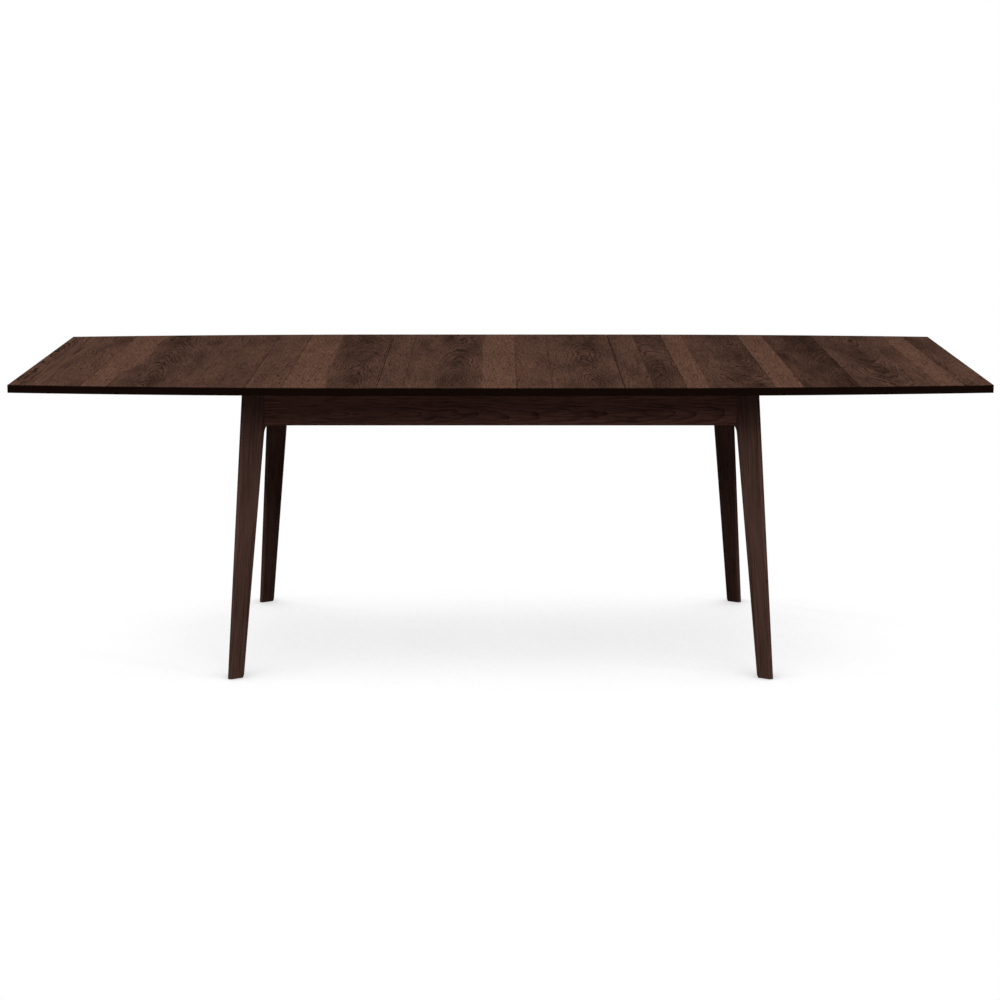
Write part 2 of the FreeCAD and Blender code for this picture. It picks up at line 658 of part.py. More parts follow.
place(nut_prism, f"{BRACE_X} + {NUT_START} / sqrt(2)", f"{BRACE_Y} + {NUT_START} / sqrt(2)", BOLT_Z)
nut_bore = bolt_along("nut_bore", "bolt_diameter + 2 * screw_fit", BOLT_START, "bolt_length")
keep(four_fold("corner_nuts", cut("corner_nut", nut_prism, nut_bore)))

# Cross rails
RAIL_BOTTOM = f"({RAIL_TOP} - rail_height)"


def cross_rail(name, middle):
    body = new_body(name)
    board = sketch_on(body, "board", "XY_Plane", RAIL_BOTTOM)
    add_rectangle(board, f"{middle} - rail_width / 2", f"{middle} + rail_width / 2", f"-{APRON_IN}", APRON_IN)
    pad(body, board, "rail_height")
    tenons = sketch_on(body, "tenons", "XY_Plane", RAIL_BOTTOM)
    reach = f"({APRON_IN} + rail_tenon_length)"
    sides = (f"{middle} - rail_tenon_width / 2", f"{middle} + rail_tenon_width / 2")
    add_rectangle(tenons, *sides, f"-{reach}", reach)
    pad(body, tenons, "rail_height")
    if middle in SCREWED_X:
        screw_holes(body, [(middle, y) for y in GUIDE_Y], RAIL_BOTTOM, "rail_height")
    else:
        seats = sketch_on(body, "post_seats", "XY_Plane", RAIL_TOP)
        add_circles(seats, [("0", f"{side}{SLIDE_Y}") for side in ("", "-")], "post_diameter + 2 * screw_fit")
        pocket(body, seats, "post_depth")
    return body


for rail_name, rail_x in RAIL_X.items():
    keep(cross_rail(rail_name, rail_x))


# Guide rails, their screws and glide strips
def guide_rail():
    """Rail along X whose tongue carries a runner by its groove."""
    body = new_body("rear_outer_guide")
    sketch = sketch_on(body, "section", "YZ_Plane")
    back = f"{GUIDE_IN} + guide_width"
    low, high = f"{SLIDE_Z} - tongue_height / 2", f"{SLIDE_Z} + tongue_height / 2"
    tip = f"{GUIDE_IN} - tongue_depth"
    corners = [(back, RAIL_TOP), (back, BASE_TOP), (GUIDE_IN, BASE_TOP), (GUIDE_IN, high)]
    corners += [(tip, high), (tip, low), (GUIDE_IN, low), (GUIDE_IN, RAIL_TOP)]
    add_outline(sketch, corners)
    pad(body, sketch, f"2 * {END_IN}", symmetric=True)
    add_shank_holes(body, [(x, GUIDE_MID) for x in SCREWED_X], RAIL_TOP, "guide_screw_grip")
    return body


rear_outer_guide = keep(guide_rail())
rear_inner_guide = keep(mirrored("rear_inner_guide", rear_outer_guide, Y_AXIS, SLIDE_Y))
keep(mirrored("front_outer_guide", rear_outer_guide, Y_AXIS))
keep(mirrored("front_inner_guide", rear_inner_guide, Y_AXIS))
GUIDE_SCREWS = [(x, y) for x in SCREWED_X for y in GUIDE_Y]
keep(screw_group("guide_screws", GUIDE_SCREWS, RAIL_BOTTOM, "rail_height + guide_screw_grip"))
strips = [
    box(f"strip_{index}", (f"2 * {END_IN}", "strip_width", "strip_thickness"),
        (f"-{END_IN}", f"{y} - strip_width / 2", BASE_TOP))
    for index, y in enumerate(GUIDE_Y)
]
keep(joined("glide_strips", strips, "Part::Compound"))


# Runners
def runner():
    """Rear runner of the left half, grooved on its outer side and relieved under the leaf."""
    body = new_body("left_rear_runner")
    sketch = sketch_on(body, "section", "YZ_Plane", f"-{RUNNER_FAR}")
    low = f"{SLIDE_Z} - tongue_height / 2 - slide_fit"
    high = f"{SLIDE_Z} + tongue_height / 2 + slide_fit"
    floor = f"{RUNNER_OUT} - tongue_depth - slide_fit"
    corners = [(RUNNER_IN, RUNNER_BOTTOM), (RUNNER_OUT, RUNNER_BOTTOM), (RUNNER_OUT, low), (floor, low)]
    corners += [(floor, high), (RUNNER_OUT, high), (RUNNER_OUT, UNDERSIDE), (RUNNER_IN, UNDERSIDE)]
    add_outline(sketch, corners)
    pad(body, sketch, f"{RUNNER_FAR} + {RUNNER_NEAR}")
    relief = sketch_on(body, "relief", "XY_Plane", UNDERSIDE)
    add_rectangle(relief, f"-{SEAM} - relief_lead", RUNNER_NEAR, RUNNER_IN, RUNNER_OUT)
    pocket(body, relief, "runner_relief")
    screw_holes(body, RUNNER_SCREWS, RUNNER_BOTTOM, "runner_height")
    return body


RUNNER_SCREWS = [(f"-{x}", RUNNER_MID) for x in RUNNER_SCREW_X]
left_rear_runner = keep(runner())
right_rear_runner = keep(across_pinion("right_rear_runner", left_rear_runner))
keep(mirrored("left_front_runner", left_rear_runner, Y_AXIS))
keep(mirrored("right_front_runner", right_rear_runner, Y_AXIS))
left_rear_screws = screw_group("left_rear_screws", RUNNER_SCREWS, RUNNER_BOTTOM, "runner_height + screw_grip")
right_rear_screws = across_pinion("right_rear_screws", left_rear_screws)
for side, rear_screws in (("left", left_rear_screws), ("right", right_rear_screws)):
    front_screws = mirrored(f"{side}_front_screws", rear_screws, Y_AXIS)
    keep(joined(f"{side}_runner_screws", [rear_screws, front_screws], "Part::Compound"))

left_rear_stop = keep(
    box("left_rear_stop", ("stop_length", "runner_width", "stop_height"),
        ("rail_spacing + rail_width / 2 + open_travel", RUNNER_IN, f"{RUNNER_BOTTOM} - stop_height"))
)
right_rear_stop = keep(across_pinion("right_rear_stop", left_rear_stop))
keep(mirrored("left_front_stop", left_rear_stop, Y_AXIS))
keep(mirrored("right_front_stop", right_rear_stop, Y_AXIS))

# Racks: a tooth stands at the pinion's axis at rest, and enough follow for the whole travel
TEETH_BEFORE = f"(floor({SEAM} / {TOOTH_PITCH}) + 2)"
TEETH_AFTER = f"(floor(open_travel / {TOOTH_PITCH}) + 2)"
RACK_START = f"(-{TEETH_BEFORE} * {TOOTH_PITCH})"
RACK_END = f"({TEETH_AFTER} * {TOOTH_PITCH})"


def rack():
    """Rack of the left rear runner, its teeth towards the pinion."""
    body = new_body("left_rear_rack")
    base = f"({SLIDE_Z} - rack_height / 2)"
    pitch_line = f"({SLIDE_Y} + {PITCH_RADIUS})"
    root = f"({pitch_line} + 1.25 * gear_module)"
    tip = f"({pitch_line} - gear_module)"
    bar = sketch_on(body, "bar", "XY_Plane", base)
    half_pitch = f"{TOOTH_PITCH} / 2"
    add_rectangle(bar, f"{RACK_START} - {half_pitch}", f"{RACK_END} + {half_pitch}", root, RUNNER_IN)
    pad(body, bar, "rack_height")
    tooth = sketch_on(body, "tooth", "XY_Plane", base)
    half_tooth = f"({TOOTH_PITCH} / 4 - backlash / 2)"
    wide = f"({half_tooth} + 1.25 * gear_module * tan(20))"
    slim = f"({half_tooth} - gear_module * tan(20))"
    corners = [(f"{RACK_START} - {wide}", root), (f"{RACK_START} - {slim}", tip)]
    corners += [(f"{RACK_START} + {slim}", tip), (f"{RACK_START} + {wide}", root)]
    add_outline(tooth, corners)
    first = pad(body, tooth, "rack_height")
    row = body.newObject("PartDesign::LinearPattern", "rack_row")
    row.Originals = [first]
    row.Direction = (origin_feature(body, "X_Axis"), [""])
    bind(row, "Length", f"{RACK_END} - {RACK_START}")
    bind(row, "Occurrences", f"{TEETH_BEFORE} + {TEETH_AFTER} + 1")
    body.Tip = row
    return body


left_rear_rack = keep(rack())
right_rear_rack = keep(across_pinion("right_rear_rack", left_rear_rack))
keep(mirrored("left_front_rack", left_rear_rack, Y_AXIS))
keep(mirrored("right_front_rack", right_rear_rack, Y_AXIS))


# Pinions on their posts
def pinion():
    """Pinion with a tooth along X, so that both racks find a gap along Y; arcs stand for the involutes."""
    body = new_body("rear_pinion")
    place(body, "0", SLIDE_Y, f"{SLIDE_Z} - pinion_thickness / 2")
    disc = sketch_on(body, "disc", "XY_Plane")
    for diameter in (f"2 * {PITCH_RADIUS} - 2.5 * gear_module", "post_diameter + 2 * bearing_gap"):
        add_circles(disc, [("0", "0")], diameter)
    pad(body, disc, "pinion_thickness")
    base = f"({PITCH_RADIUS} * cos(20))"
    tip = f"({PITCH_RADIUS} + gear_module)"
    base_turn = "(90 / pinion_teeth + tan(20) * 180 / pi - 20)"
    roll = f"(sqrt(({tip} / {base}) ^ 2 - 1) * 180 / pi - acos({base} / {tip}) / 1deg)"
    tip_turn = f"({base_turn} - {roll})"
    half = [
        (f"{PITCH_RADIUS} - 2 * gear_module", f"{base} * sin({base_turn})"),
        (f"{base} * cos({base_turn})", f"{base} * sin({base_turn})"),
        (f"{tip} * cos({tip_turn})", f"{tip} * sin({tip_turn})"),
    ]
    corners = [(x, f"-{y}") for x, y in half] + list(reversed(half))
    tooth = sketch_on(body, "tooth", "XY_Plane")
    flank = f"{PITCH_RADIUS} * sin(20)"
    add_outline(tooth, corners, [(1, flank, 1), (3, flank, 1)])
    first = pad(body, tooth, "pinion_thickness")
    ring = body.newObject("PartDesign::PolarPattern", "pinion_ring")
    ring.Originals = [first]
    ring.Axis = (origin_feature(body, "Z_Axis"), [""])
    ring.Angle = 360
    bind(ring, "Occurrences", "pinion_teeth")
    body.Tip = ring
    return body


rear_pinion = keep(pinion())
keep(mirrored("front_pinion", rear_pinion, Y_AXIS))
PINION_TOP = f"({SLIDE_Z} + pinion_thickness / 2)"
FLANGE_TOP = f"({SLIDE_Z} - pinion_thickness / 2 - float_gap)"
CLIP_BOTTOM = f"({PINION_TOP} + float_gap)"


def pinion_post():
    """Turned post: spigot in the rail, flange under the pinion, shaft through it."""
    body = new_body("rear_pinion_post")
    sketch = sketch_on(body, "half_section", "XZ_Plane", f"-{SLIDE_Y}")
    shaft, flange = "post_diameter / 2", "post_flange_diameter / 2"
    top = f"{CLIP_BOTTOM} + 2 * clip_thickness"
    low = f"{RAIL_TOP} - post_depth"
    corners = [("0", low), (shaft, low), (shaft, RAIL_TOP), (flange, RAIL_TOP), (flange, FLANGE_TOP)]
    corners += [(shaft, FLANGE_TOP), (shaft, top), ("0", top)]
    add_outline(sketch, corners)
    turned = body.newObject("PartDesign::Revolution", "post_turned")
    turned.Profile = sketch
    turned.ReferenceAxis = (sketch, ["V_Axis"])
    turned.Angle = 360
    doc.recompute()
    return body


rear_post = keep(pinion_post())
keep(mirrored("front_pinion_post", rear_post, Y_AXIS))
CLIP_SEAT = ("0", SLIDE_Y, CLIP_BOTTOM)
clip_disc = cylinder("clip_disc", "clip_diameter", "clip_thickness", CLIP_SEAT)
clip_bore = cylinder("clip_bore", "post_diameter + 2 * screw_fit", "clip_thickness", CLIP_SEAT)
rear_clip = keep(cut("rear_pinion_clip", clip_disc, clip_bore))
keep(mirrored("front_pinion_clip", rear_clip, Y_AXIS))

# Check every object, then write one file for each piece
doc.removeObject(probe.Name)
doc.recompute()
for item in doc.Objects:
    if "Invalid" in item.State or "Error" in item.State:
        raise RuntimeError(f"{item.Name} failed: {item.State}")
for item in nodes:
    if item.Shape.isNull() or not item.Shape.isValid() or not item.Shape.Solids:
        raise RuntimeError(f"{item.Label} has no valid solid")
os.makedirs("parts", exist_ok=True)
for item in nodes:
    item.Shape.exportStep(f"parts/{item.Label}.step")
print(len(nodes), "pieces,", sum(len(item.Shape.Solids) for item in nodes), "solids")
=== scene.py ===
from collections import namedtuple
import json
import math

import bpy
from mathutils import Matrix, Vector

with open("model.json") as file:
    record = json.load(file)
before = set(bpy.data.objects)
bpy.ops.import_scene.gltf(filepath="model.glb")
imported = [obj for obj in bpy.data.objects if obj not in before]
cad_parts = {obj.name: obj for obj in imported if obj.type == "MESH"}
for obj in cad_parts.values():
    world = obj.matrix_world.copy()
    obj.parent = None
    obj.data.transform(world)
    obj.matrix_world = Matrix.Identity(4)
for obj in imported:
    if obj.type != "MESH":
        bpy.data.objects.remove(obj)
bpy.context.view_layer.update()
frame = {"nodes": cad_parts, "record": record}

X, Y, Z = 0, 1, 2
MM_PER_METRE = 1000.0


def linear(code):
    """Linear colour of an sRGB hex value."""
    colour = []
    for start in (1, 3, 5):
        part = int(code[start:start + 2], 16) / 255
        colour.append(part / 12.92 if part <= 0.04045 else ((part + 0.055) / 1.055) ** 2.4)
    return (*colour, 1.0)


def put(tree, kind, inputs=(), **settings):
    """A node with its settings. An input takes a value, a socket, or a node for its first output in use.

    Map Range takes 1 and 2 as the range of its value, and 3 and 4 as what it gives at their ends. Mix
    takes 6 and 7 as its two colours.
    """
    item = tree.nodes.new("ShaderNode" + kind)
    for name, value in settings.items():
        setattr(item, name, value)
    for key, value in dict(inputs).items():
        if isinstance(value, bpy.types.Node):
            value = next(socket for socket in value.outputs if socket.enabled)
        if isinstance(value, bpy.types.NodeSocket):
            tree.links.new(value, item.inputs[key])
        else:
            item.inputs[key].default_value = value
    return item


def new_material(name):
    """An empty material, and the tree that its nodes go in."""
    material = bpy.data.materials.new(name)
    material.use_nodes = True
    material.node_tree.nodes.clear()
    return material, material.node_tree


def end_in_surface(tree, sockets):
    """The surface of a material. What is the same all over is set on its own sockets."""
    shader = put(tree, "BsdfPrincipled", sockets)
    put(tree, "OutputMaterial", {"Surface": shader})


def place_in_mm(tree):
    """Place on the object in millimetres."""
    place = put(tree, "TexCoord").outputs["Object"]
    return put(tree, "VectorMath", {0: place, "Scale": MM_PER_METRE}, operation="SCALE")


# Walnut, planed, stained dark brown and oiled: growth rings and pores take more stain and show as fine
# dark lines, the heart is smoky, sapwood stays paler, end grain is nearly black, and the oil is matt.
# The stains of a face go from dark over middle to pale.
TOP_STAIN = ("#3E2C23", "#6F5043", "#84604F")
APRON_STAIN = ("#543730", "#755046", "#82594D")
LEG_STAIN = ("#3E2B25", "#60453D", "#6F5249")
END_STAIN = ("#0F0806", "#21140F")

# Its patterns, each with a length along the grain and a width across it. Real pores are far finer:
# they are drawn this wide so that they show. The heart wanders its full way between two levels of noise.
HEART_SWAY = (650.0, 160.0)
HEART_RISE = (420.0, 160.0)
WANDER_LEVELS = (0.25, 0.75)
RING_RIPPLE = (55.0, 22.0)
STAIN_CLOUD = (260.0, 46.0)
PORE = (240.0, 3.0)

# Good and poor years come in spells, and move the rings by so many of their widths. So does a ripple
# along the grain. The power sharpens the late wood of each year to a line.
SPELLS_PER_RING = 0.37
YEAR_SHIFT = 2.4
RIPPLE_SHIFT = 1.6
RING_SHARPNESS = 4.0
# Distances from the heart at which its clear, smoky figure starts to fade and has gone, and how dark
# the rings still are outside it.
HEART_ZONE = (8.0, 70.0)
OUTER_RINGS = 0.35
# Levels of the noise at which a pore starts and is full, and how dark a pore is beside a ring.
PORE_LEVELS = (0.48, 0.72)
PORE_DARKNESS = 0.7
# Clouds change the tone of the stain, which goes from 0 to 1, by so much either way.
CLOUD_LEVELS = (0.3, 0.7)
CLOUD_SWING = 0.25
# How far the darkest lines go towards the colour of end grain.
LINE_DEPTH = 0.5
# A face shows end grain by how squarely it cuts the grain.
CUT_GRAIN = (0.72, 0.95)
# The oil is rougher where there are pores.
OIL_ROUGHNESS = (0.55, 0.75)

Figure = namedtuple("Figure", "ring_line near_heart rise pores pore_line cloud")


def walnut_figure(tree, axes, along, across, offsets, seed, ring, drift, lift):
    """Growth rings round a heart that wanders along the grain, with pores and clouds of stain.

    The offsets say how far a place is from the heart, sideways and inwards. Rings are so many millimetres
    apart, and the heart drifts sideways and lifts by so many at most.
    """
    sideways, inwards = offsets
    in_wood = put(tree, "CombineXYZ", {0: axes[along], 1: seed, 2: sideways})
    paths = []
    for (length, width), reach in ((HEART_SWAY, drift), (HEART_RISE, lift)):
        slow = put(tree, "VectorMath", {0: in_wood, 1: (length, 1.0, width)}, operation="DIVIDE")
        wander = put(tree, "TexNoise", {"Vector": slow, "Scale": 1.0, "Detail": 0.6, "Roughness": 0.45})
        paths.append(put(tree, "MapRange", {0: wander, 1: WANDER_LEVELS[0], 2: WANDER_LEVELS[1],
                                            3: -reach, 4: reach}))
    sway, rise = paths
    off_side = put(tree, "Math", {0: sideways, 1: sway}, operation="ADD")
    off_face = put(tree, "Math", {0: inwards, 1: rise}, operation="ADD")
    from_heart = put(tree, "CombineXYZ", {0: off_side, 1: off_face})
    radius = put(tree, "VectorMath", {0: from_heart}, operation="LENGTH")

    count = put(tree, "Math", {0: radius, 1: ring}, operation="DIVIDE")
    years = put(tree, "TexNoise", {"W": count, "Scale": SPELLS_PER_RING, "Detail": 1.0},
                noise_dimensions="1D")
    spread = put(tree, "Math", {0: years, 1: YEAR_SHIFT, 2: count}, operation="MULTIPLY_ADD")
    short = put(tree, "VectorMath", {0: in_wood, 1: (RING_RIPPLE[0], 1.0, RING_RIPPLE[1])},
                operation="DIVIDE")
    ripple = put(tree, "TexNoise", {"Vector": short, "Scale": 1.0, "Detail": 1.0})
    uneven = put(tree, "Math", {0: ripple, 1: RIPPLE_SHIFT, 2: spread}, operation="MULTIPLY_ADD")
    growth = put(tree, "Math", {0: uneven}, operation="FRACT")
    ring_line = put(tree, "Math", {0: growth, 1: RING_SHARPNESS}, operation="POWER")
    to_side = put(tree, "Math", {0: off_side}, operation="ABSOLUTE")
    near_heart = put(tree, "MapRange", {0: to_side, 1: HEART_ZONE[0], 2: HEART_ZONE[1], 3: 1.0, 4: 0.0})

    in_pores = put(tree, "CombineXYZ", {0: off_side, 1: axes[along], 2: inwards})
    streak = put(tree, "VectorMath", {0: in_pores, 1: (PORE[1], PORE[0], PORE[1])}, operation="DIVIDE")
    pores = put(tree, "TexNoise", {"Vector": streak, "Scale": 1.0, "Detail": 3.0, "Roughness": 0.6})
    pore_line = put(tree, "MapRange", {0: pores, 1: PORE_LEVELS[0], 2: PORE_LEVELS[1]})

    in_stain = put(tree, "CombineXYZ", {0: axes[across], 1: axes[along], 2: seed})
    patch = put(tree, "VectorMath", {0: in_stain, 1: (STAIN_CLOUD[1], STAIN_CLOUD[0], 1.0)},
                operation="DIVIDE")
    clouds = put(tree, "TexNoise", {"Vector": patch, "Scale": 1.0, "Detail": 4.0, "Roughness": 0.6})
    cloud = put(tree, "MapRange", {0: clouds, 1: CLOUD_LEVELS[0], 2: CLOUD_LEVELS[1],
                                   3: -CLOUD_SWING, 4: CLOUD_SWING})
    return Figure(ring_line, near_heart, rise, pores, pore_line, cloud)


def dark_lines(tree, figure, darkness):
    """Growth rings, which fade away from the heart, and pores: 1 where the stain is darkest."""
    faded = put(tree, "MapRange", {0: figure.near_heart, 3: OUTER_RINGS * darkness, 4: darkness})
    rings = put(tree, "Math", {0: figure.ring_line, 1: faded}, operation="MULTIPLY")
    return put(tree, "Math", {0: figure.pore_line, 1: PORE_DARKNESS, 2: rings},
               operation="MULTIPLY_ADD", use_clamp=True)


def stained_face(tree, stain, tone, lines):
    """Stain of a face by its tone, with the dark lines over it."""
    dark, middle, pale = stain
    tint = put(tree, "ValToRGB", {0: tone})
    tint.color_ramp.elements[0].color = linear(dark)
    tint.color_ramp.elements[1].color = linear(pale)
    tint.color_ramp.elements.new(0.5).color = linear(middle)
    lined = put(tree, "Mix", {0: lines, 6: tint, 7: linear(dark)}, data_type="RGBA")
    deepest = put(tree, "Math", {0: lines, 1: LINE_DEPTH}, operation="MULTIPLY")
    return put(tree, "Mix", {0: deepest, 6: lined, 7: linear(END_STAIN[0])}, data_type="RGBA")


def face_direction(tree):
    """Direction in which a face looks, by axis."""
    return put(tree, "SeparateXYZ", {0: put(tree, "TexCoord").outputs["Normal"]}).outputs


def cut_grain(tree, lengthwise):
    """1 on the faces that cut the grain, 0 on those beside it, by how far they look along it."""
    square = put(tree, "Math", {0: lengthwise}, operation="ABSOLUTE")
    return put(tree, "MapRange", {0: square, 1: CUT_GRAIN[0], 2: CUT_GRAIN[1]})


def oil_walnut(tree, face, cut, lines, pores):
    """Stained walnut under matt oil: end grain where it is cut, and lines that lie a little deeper.

    The gloss is next to none, because the white studio would veil the dark stain in a flat view.
    """
    end_grain = put(tree, "Mix", {0: pores, 6: linear(END_STAIN[0]), 7: linear(END_STAIN[1])},
                    data_type="RGBA")
    colour = put(tree, "Mix", {0: cut, 6: face, 7: end_grain}, data_type="RGBA")
    roughness = put(tree, "MapRange", {0: pores, 3: OIL_ROUGHNESS[0], 4: OIL_ROUGHNESS[1]})
    relief = put(tree, "Bump", {"Height": lines, "Strength": 0.35, "Distance": 0.0004}, invert=True)
    end_in_surface(tree, {"Base Color": colour, "Roughness": roughness, "Normal": relief,
                          "IOR": 1.5, "Specular IOR Level": 0.0002})


# The top is laid out in millimetres from its left end: where each plank starts, its shade from dark
# to pale, where the heart of its growth rings lies, and whether it keeps a strip of sapwood.
TOP_LENGTH = 2438
PLANKS = (
    (0, 0.62, -60, 0),
    (91, 0.50, 20, 0),
    (184, 0.40, 330, 1),
    (460, 0.50, 640, 0),
    (591, 0.58, 470, 0),
    (684, 0.42, 845, 1),
    (914, 0.47, 800, 0),
    (979, 0.43, 1110, 1),
    (1258, 0.52, 1180, 0),
    (1351, 0.44, 1450, 0),
    (1524, 0.46, 1400, 0),
    (1602, 0.40, 1626, 0),
    (1674, 0.84, 1560, 0),
    (1738, 0.42, 1848, 0),
    (1894, 0.84, 2060, 0),
    (1970, 0.22, 2085, 0),
    (2107, 0.42, 2196, 0),
    (2301, 0.82, 2200, 0),
    (2361, 0.42, 2330, 0),
)
# A colour ramp keeps 256 values, so its steps fall on a grid of 10 mm. The grid starts a little outside
# the left end, which puts both seams of the leaf on it.
RAMP_STEP = 10
RAMP_LENGTH = 255 * RAMP_STEP
RAMP_START = 6
# Strips of sapwood. Each runs past the glued edge of its plank, which cuts it straight. Its other edge
# waves as the heart rises, so many times as far.
SAPWOOD = ((150, 264), (650, 763), (1174, 1290))
SAPWOOD_WAVE = 1.1
SAPWOOD_PALENESS = 0.46
# The pith of the planks lies below their top face: its height at the middle, and its fall towards
# the front or the back. The heart above it is darker than the rest of the plank.
PITH_HEIGHT = 704
PITH_FALL = 0.1
HEART_SMOKE = -0.1
OUTER_SMOKE = 0.03
# The glued joints are drawn this wide, so that they show.
JOINT_LINE = 2.2
JOINT_DARKNESS = 0.4
# Planks are told apart by their hearts, and each has noise of its own.
SAME_HEART = 1e-4
PLANK_SEED = 97.0
# The sides and the eased edges of the top have the dark stain of end grain, by how far they look away
# from straight up.
EASED_EDGE = (0.98, 0.8)
EASED_DARKNESS = 0.9


def plank_steps(tree, place):
    """Shade, heart and sapwood of the plank at a place, as red, green and blue."""
    ramp = put(tree, "ValToRGB", {0: place})
    steps = ramp.color_ramp
    steps.interpolation = "CONSTANT"
    steps.elements.remove(steps.elements[1])
    for index, (start, shade, heart, sapwood) in enumerate(PLANKS):
        nearest = (start + RAMP_START - RAMP_STEP / 2) / RAMP_LENGTH
        step = steps.elements.new(nearest) if index else steps.elements[0]
        step.color = (shade, heart / TOP_LENGTH, sapwood, 1)
    return put(tree, "SeparateColor", {0: ramp}).outputs


def sapwood_strips(tree, from_left):
    """1 where a strip of sapwood lies, 0 elsewhere."""
    ramp = put(tree, "ValToRGB", {0: put(tree, "Math", {0: from_left, 1: TOP_LENGTH}, operation="DIVIDE")})
    steps = ramp.color_ramp
    steps.interpolation = "CONSTANT"
    steps.elements.remove(steps.elements[1])
    steps.elements[0].color = linear("#000000")
    for start, end in SAPWOOD:
        steps.elements.new(start / TOP_LENGTH).color = linear("#FFFFFF")
        steps.elements.new(end / TOP_LENGTH).color = linear("#000000")
    return ramp


def walnut_planks(name, ring, drift, lift, darkness):
    """Planks of the top, glued side by side with their grain from front to back."""
    material, tree = new_material(name)
    axes = put(tree, "SeparateXYZ", {0: place_in_mm(tree)}).outputs

    # Which plank a place lies in, and whether the next one starts within the width of a joint
    from_left = put(tree, "Math", {0: axes[X], 1: TOP_LENGTH / 2}, operation="ADD")
    on_grid = put(tree, "Math", {0: from_left, 1: RAMP_START}, operation="ADD")
    place = put(tree, "Math", {0: on_grid, 1: RAMP_LENGTH}, operation="DIVIDE")
    shade, heart, sapwood = plank_steps(tree, place)[:3]
    beside = put(tree, "Math", {0: place, 1: JOINT_LINE / RAMP_LENGTH}, operation="ADD")
    next_heart = plank_steps(tree, beside)[1]
    same_plank = put(tree, "Math", {0: heart, 1: next_heart, 2: SAME_HEART}, operation="COMPARE")

    # How far it is from the heart of its plank, sideways and above the falling pith
    heart_in_mm = put(tree, "Math", {0: heart, 1: TOP_LENGTH}, operation="MULTIPLY")
    sideways = put(tree, "Math", {0: from_left, 1: heart_in_mm}, operation="SUBTRACT")
    seed = put(tree, "Math", {0: heart, 1: PLANK_SEED}, operation="MULTIPLY")
    turned = put(tree, "Math", {0: put(tree, "Math", {0: seed}, operation="SINE")}, operation="SIGN")
    fall = put(tree, "Math", {0: turned, 1: PITH_FALL}, operation="MULTIPLY")
    above_pith = put(tree, "Math", {0: axes[Z], 1: PITH_HEIGHT}, operation="SUBTRACT")
    inwards = put(tree, "Math", {0: axes[Y], 1: fall, 2: above_pith}, operation="MULTIPLY_ADD")
    figure = walnut_figure(tree, axes, Y, X, (sideways, inwards), seed, ring, drift, lift)

    # Tone of the stain: the shade of the plank, its smoky heart, clouds and pale sapwood
    smoke = put(tree, "MapRange", {0: figure.near_heart, 3: OUTER_SMOKE, 4: HEART_SMOKE})
    smoky = put(tree, "Math", {0: shade, 1: smoke}, operation="ADD")
    cloudy = put(tree, "Math", {0: smoky, 1: figure.cloud}, operation="ADD")
    wavy = put(tree, "Math", {0: figure.rise, 1: SAPWOOD_WAVE, 2: from_left}, operation="MULTIPLY_ADD")
    strip = put(tree, "Math", {0: sapwood_strips(tree, wavy), 1: sapwood}, operation="MULTIPLY")
    tone = put(tree, "Math", {0: strip, 1: SAPWOOD_PALENESS, 2: cloudy}, operation="MULTIPLY_ADD",
               use_clamp=True)

    lines = dark_lines(tree, figure, darkness)
    face = stained_face(tree, TOP_STAIN, tone, lines)
    joint = put(tree, "MapRange", {0: same_plank, 3: JOINT_DARKNESS, 4: 0.0})
    glued = put(tree, "Mix", {0: joint, 6: face, 7: linear(END_STAIN[0])}, data_type="RGBA")
    facing = face_direction(tree)
    upward = put(tree, "Math", {0: facing[Z]}, operation="ABSOLUTE")
    eased = put(tree, "MapRange", {0: upward, 1: EASED_EDGE[0], 2: EASED_EDGE[1],
                                   3: 0.0, 4: EASED_DARKNESS})
    dark_edge = put(tree, "Math", {0: cut_grain(tree, facing[Y]), 1: eased}, operation="MAXIMUM")
    oil_walnut(tree, glued, dark_edge, lines, figure.pores)
    return material


# Legs and aprons are single boards. They stand in mirrored pairs, and each has noise of its own. The
# heart is given across the board and into it, and lean is how far the grain tilts in those directions.
BOARD_SEED = 2.3
BOARD_TONE = 0.5
BOARD_DARKNESS = 0.7
LEG_LEAN = (0.080, 0.068)
APRON_LEAN = (0, 0.05)


def walnut_board(name, stain, along, across, depth, heart, lean, ring, drift, lift):
    """A board with its grain along one axis."""
    material, tree = new_material(name)
    axes = put(tree, "SeparateXYZ", {0: place_in_mm(tree)}).outputs
    offsets = []
    sides = []
    for axis, tilt, middle in zip((across, depth), lean, heart):
        outwards = put(tree, "Math", {0: axes[axis]}, operation="ABSOLUTE")
        straight = put(tree, "Math", {0: axes[along], 1: tilt, 2: outwards}, operation="MULTIPLY_ADD")
        offsets.append(put(tree, "Math", {0: straight, 1: middle}, operation="SUBTRACT"))
        sides.append(put(tree, "Math", {0: axes[axis]}, operation="SIGN"))
    seed = put(tree, "Math", {0: sides[0], 1: BOARD_SEED, 2: sides[1]}, operation="MULTIPLY_ADD")
    figure = walnut_figure(tree, axes, along, across, offsets, seed, ring, drift, lift)
    tone = put(tree, "Math", {0: figure.cloud, 1: BOARD_TONE}, operation="ADD", use_clamp=True)
    lines = dark_lines(tree, figure, BOARD_DARKNESS)
    face = stained_face(tree, stain, tone, lines)
    cut = cut_grain(tree, face_direction(tree)[along])
    oil_walnut(tree, face, cut, lines, figure.pores)
    return material


